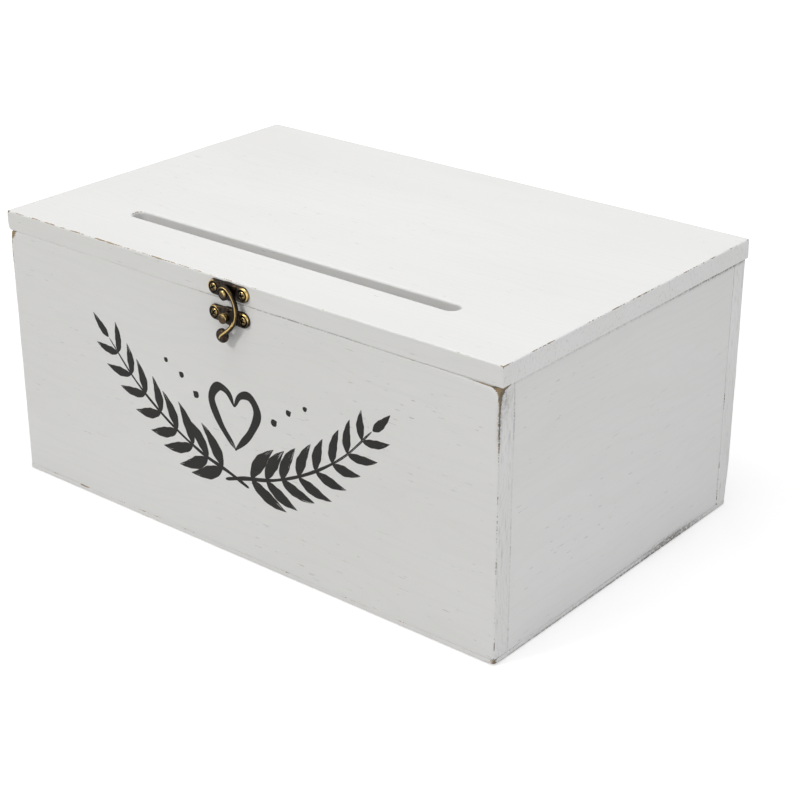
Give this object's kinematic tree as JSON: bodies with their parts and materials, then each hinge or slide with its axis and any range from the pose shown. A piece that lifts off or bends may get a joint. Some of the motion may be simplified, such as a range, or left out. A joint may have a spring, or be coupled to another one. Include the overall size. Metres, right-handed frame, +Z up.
{
  "type": "wedding card box",
  "caption": "White painted wooden card box with a hinged lid, a long card slot in the lid and a swing hook latch on the front.",
  "frame": {"origin": "middle of the underside of the bottom panel, midway between the front and back faces", "axes": "+X to the right seen from the front, +Y to the back with the hinges, +Z up"},
  "size_m": [0.3556, 0.2393, 0.1651],
  "materials": {
    "white_painted_wood": "thin white paint over pine, edges sanded back to brown wood",
    "antique_bronze": "dark antique bronze plating, rubbed to brass on raised edges",
    "steel_brads": "bare steel brads"
  },
  "bodies": {
    "box": {"front_panel": "white_painted_wood", "back_panel": "white_painted_wood", "left_side_panel": "white_painted_wood", "right_side_panel": "white_painted_wood", "bottom_panel": "white_painted_wood", "front_corner_brads": "steel_brads", "back_corner_brads": "steel_brads", "bottom_brads": "steel_brads", "catch_plate": "antique_bronze", "catch_plate_screws": "antique_bronze", "catch_stud": "antique_bronze", "left_hinge_box_leaf": "antique_bronze", "left_hinge_pin": "antique_bronze", "left_hinge_box_screws": "antique_bronze", "right_hinge_box_leaf": "antique_bronze", "right_hinge_pin": "antique_bronze", "right_hinge_box_screws": "antique_bronze"},
    "lid": {"lid_panel": "white_painted_wood", "latch_plate": "antique_bronze", "latch_plate_screws": "antique_bronze", "latch_rivet": "antique_bronze", "left_hinge_lid_leaf": "antique_bronze", "left_hinge_lid_screws": "antique_bronze", "right_hinge_lid_leaf": "antique_bronze", "right_hinge_lid_screws": "antique_bronze"},
    "latch_arm": {"latch_arm": "antique_bronze"}
  },
  "joints": [
    {"name": "lid_hinge", "type": "hinge", "parent": "box", "child": "lid", "pos_m": [0, 0.1164, 0.15345], "axis": [-1, 0, 0], "range_deg": [0, 180]},
    {"name": "latch_swing", "type": "hinge", "parent": "lid", "child": "latch_arm", "pos_m": [0, -0.1143, 0.1588], "axis": [0, -1, 0], "range_deg": [0, 290]}
  ]
}
